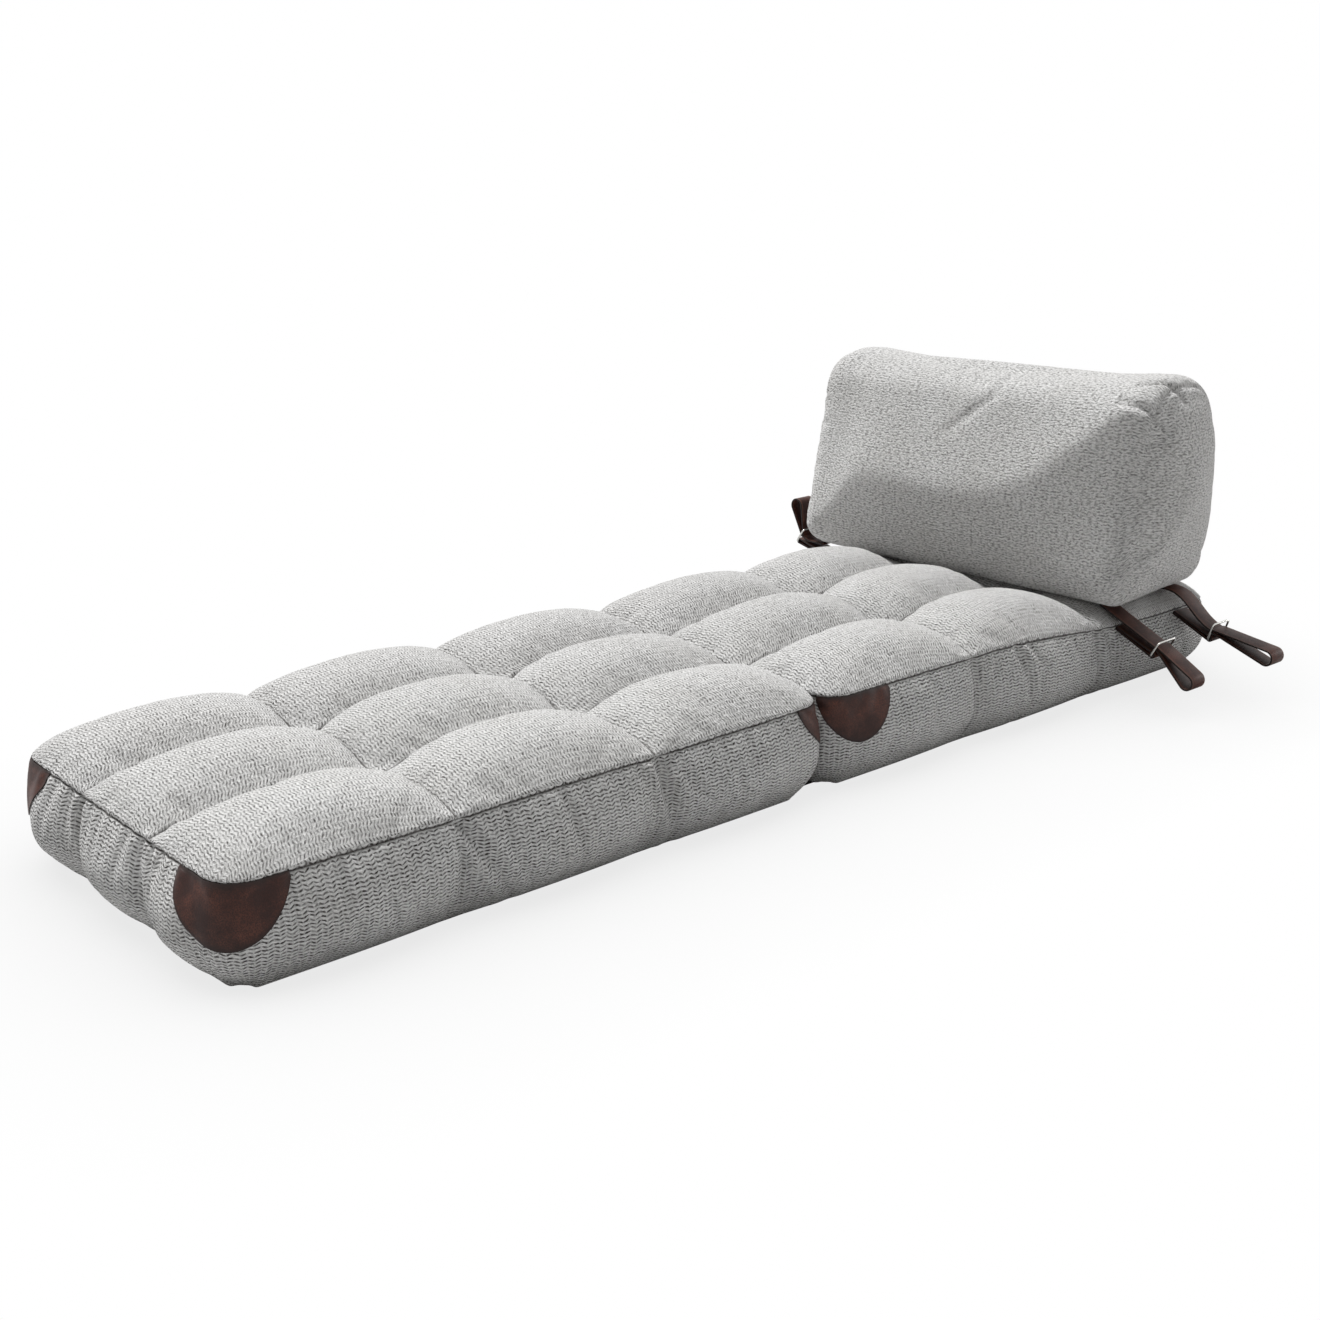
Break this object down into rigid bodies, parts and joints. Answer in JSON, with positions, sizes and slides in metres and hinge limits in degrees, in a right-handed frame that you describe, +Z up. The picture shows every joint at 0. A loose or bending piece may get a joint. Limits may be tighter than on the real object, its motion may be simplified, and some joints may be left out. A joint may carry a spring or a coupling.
{
  "type": "chair bed",
  "caption": "Two tufted cushions hinged end to end that lie flat as a bed or fold under into a chair, with a bolster strapped on as the backrest.",
  "frame": {"origin": "the middle of the head cushion's underside, on the floor", "axes": "+Y from the foot end to the head end, +Z up, +X to the right seen from the foot end"},
  "size_m": [1.007, 2.1129, 0.5679],
  "materials": {
    "boucle_cloth": "matte",
    "under_cloth": "matte",
    "foam": "matte",
    "tie_cord": "matte",
    "leather": "satin",
    "ring_metal": "gloss"
  },
  "bodies": {
    "head": {"head_cover": "boucle_cloth", "head_foam": "foam", "head_ties": "tie_cord", "head_base_cloth": "under_cloth", "head_hinge_leaf": "under_cloth", "head_corner_right": "leather", "head_corner_left": "leather", "anchor_strap_right_front": "leather", "anchor_strap_right_rear": "leather", "anchor_strap_left_front": "leather", "anchor_strap_left_rear": "leather", "ring_right_front": "ring_metal", "ring_right_rear": "ring_metal", "ring_left_front": "ring_metal", "ring_left_rear": "ring_metal"},
    "foot": {"foot_cover": "boucle_cloth", "foot_foam": "foam", "foot_ties": "tie_cord", "foot_base_cloth": "under_cloth", "foot_hinge_leaf": "under_cloth", "foot_corner_right": "leather", "foot_corner_left": "leather", "foot_fold_corner_right": "leather", "foot_fold_corner_left": "leather"},
    "bolster": {"bolster_cover": "boucle_cloth", "bolster_foam": "foam", "bolster_strap_right_front": "leather", "bolster_strap_right_rear": "leather", "bolster_strap_left_front": "leather", "bolster_strap_left_rear": "leather"},
    "loop_right_front": {"pull_loop_right_front": "leather"},
    "loop_right_rear": {"pull_loop_right_rear": "leather"},
    "loop_left_front": {"pull_loop_left_front": "leather"},
    "loop_left_rear": {"pull_loop_left_rear": "leather"}
  },
  "joints": [
    {"name": "fold", "type": "hinge", "parent": "head", "child": "foot", "pos_m": [0, -0.514, -0.00025], "axis": [1, 0, 0], "range_deg": [0, 180]},
    {"name": "bolster_tilt", "type": "hinge", "parent": "head", "child": "bolster", "pos_m": [-0.01223, 0.41636, 0.2063], "axis": [-0.9945, -0.1045, 0], "range_deg": [0, 12], "deforming": ["bolster_strap_right_front", "bolster_strap_right_rear", "bolster_strap_left_front", "bolster_strap_left_rear"]},
    {"name": "pull_loop_right_front_swing", "type": "hinge", "parent": "head", "child": "loop_right_front", "pos_m": [0.391, 0.2361, 0.114], "axis": [0, -1, 0], "range_deg": [-29, 51]},
    {"name": "pull_loop_right_rear_swing", "type": "hinge", "parent": "head", "child": "loop_right_rear", "pos_m": [0.391, 0.4071, 0.111], "axis": [0, -1, 0], "range_deg": [-41, 39]},
    {"name": "pull_loop_left_front_swing", "type": "hinge", "parent": "head", "child": "loop_left_front", "pos_m": [-0.41, 0.15191, 0.176], "axis": [0, 1, 0], "range_deg": [-73, 7]},
    {"name": "pull_loop_left_rear_swing", "type": "hinge", "parent": "head", "child": "loop_left_rear", "pos_m": [-0.41, 0.32291, 0.111], "axis": [0, 1, 0], "range_deg": [-25, 55]}
  ]
}
